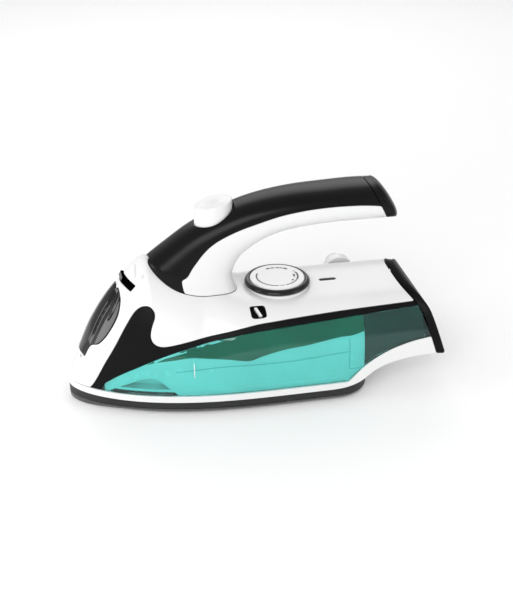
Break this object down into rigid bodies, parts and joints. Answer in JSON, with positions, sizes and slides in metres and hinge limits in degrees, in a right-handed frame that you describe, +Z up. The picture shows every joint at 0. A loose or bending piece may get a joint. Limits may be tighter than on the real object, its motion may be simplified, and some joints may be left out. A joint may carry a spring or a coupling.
{
  "type": "clothes iron",
  "caption": "Compact travel steam iron: pointed soleplate, clear teal water tank, one-armed handle with steam button, thermostat dial, fill cover and steam lever.",
  "frame": {"origin": "on the soleplate's flat underside, midway along the iron's length and on its middle plane", "axes": "+X from the nose to the heel, +Z up from the soleplate, +Y to the side that the cord gland is on"},
  "size_m": [0.2081, 0.0855, 0.1157],
  "materials": {
    "white_plastic": "glossy",
    "black_plastic": "satin",
    "black_gloss": "high gloss",
    "teal_clear": "clear, tinted",
    "pale_plastic": "satin",
    "dark_coating": "smooth non-stick coating",
    "heat_plastic": "matt heat-proof",
    "cast_aluminium": "as cast",
    "element_sheath": "matt",
    "steel": "bright",
    "brass": "turned",
    "seal_rubber": "matt",
    "ceramic_white": "unglazed",
    "lens": "dark tinted",
    "lamp_glass": "clear",
    "wire_brown": "satin",
    "wire_blue": "satin"
  },
  "bodies": {
    "iron": {"lower_skirt": "white_plastic", "top_shell": "white_plastic", "handle_lower": "white_plastic", "dial_base": "white_plastic", "cord_gland": "white_plastic", "side_trim_left": "black_plastic", "side_trim_right": "black_plastic", "handle_grip": "black_plastic", "voltage_switch": "black_plastic", "rear_cover": "black_gloss", "water_tank": "teal_clear", "tank_base": "pale_plastic", "tank_lid": "pale_plastic", "fill_spout": "pale_plastic", "pump_body": "pale_plastic", "cord_clamp": "pale_plastic", "pump_hose": "pale_plastic", "soleplate": "dark_coating", "heat_shield": "heat_plastic", "heater_casting": "cast_aluminium", "heating_element": "element_sheath", "steam_chamber_cover": "steel", "valve_spring": "steel", "button_spring": "steel", "cover_hinge_pin": "steel", "heel_screw_left": "steel", "heel_screw_right": "steel", "handle_screw_left": "steel", "handle_screw_right": "steel", "valve_seat": "brass", "chamber_gasket": "seal_rubber", "thermostat": "ceramic_white", "terminal_block": "ceramic_white", "thermal_fuse": "ceramic_white", "pilot_lens": "lens", "pilot_lamp": "lamp_glass", "lead_live": "wire_brown", "lead_neutral": "wire_blue"},
    "dial": {"dial_cap": "white_plastic", "dial_rim": "black_gloss", "thermostat_spindle": "steel"},
    "steam_button": {"steam_button": "white_plastic", "pump_piston": "pale_plastic"},
    "steam_lever": {"steam_lever": "black_gloss"},
    "valve": {"valve_rod": "steel"},
    "fill_cover": {"fill_cover": "black_gloss", "fill_seal": "seal_rubber"},
    "voltage_slider": {"voltage_slider": "white_plastic"}
  },
  "joints": [
    {"name": "dial_turn", "type": "hinge", "parent": "iron", "child": "dial", "pos_m": [0.0158, 0, 0.0595], "axis": [0, 0, -1], "range_deg": [0, 290]},
    {"name": "steam_button_press", "type": "slide", "parent": "iron", "child": "steam_button", "axis": [0, 0, -1], "range_m": [0, 0.004], "stiffness_N_per_m": 600, "springref_m": -0.002, "deforming": ["button_spring"]},
    {"name": "steam_lever_swing", "type": "hinge", "parent": "iron", "child": "steam_lever", "pos_m": [-0.06041, 0, 0.0656], "axis": [0.454, 0, 0.891], "range_deg": [-24, 24]},
    {"name": "valve_lift", "type": "slide", "parent": "iron", "child": "valve", "axis": [0, 0, 1], "range_m": [-0.0008, 0.0008], "deforming": ["valve_spring"]},
    {"name": "fill_cover_open", "type": "hinge", "parent": "iron", "child": "fill_cover", "pos_m": [-0.09585, 0, 0.0266], "axis": [0, -1, 0], "range_deg": [0, 80]},
    {"name": "voltage_slide", "type": "slide", "parent": "iron", "child": "voltage_slider", "axis": [1, 0, 0], "range_m": [-0.0015, 0.0015]}
  ],
  "couplings": [
    {"joint": "steam_lever_swing", "follows": "valve_lift", "rad_per_m": 523}
  ]
}
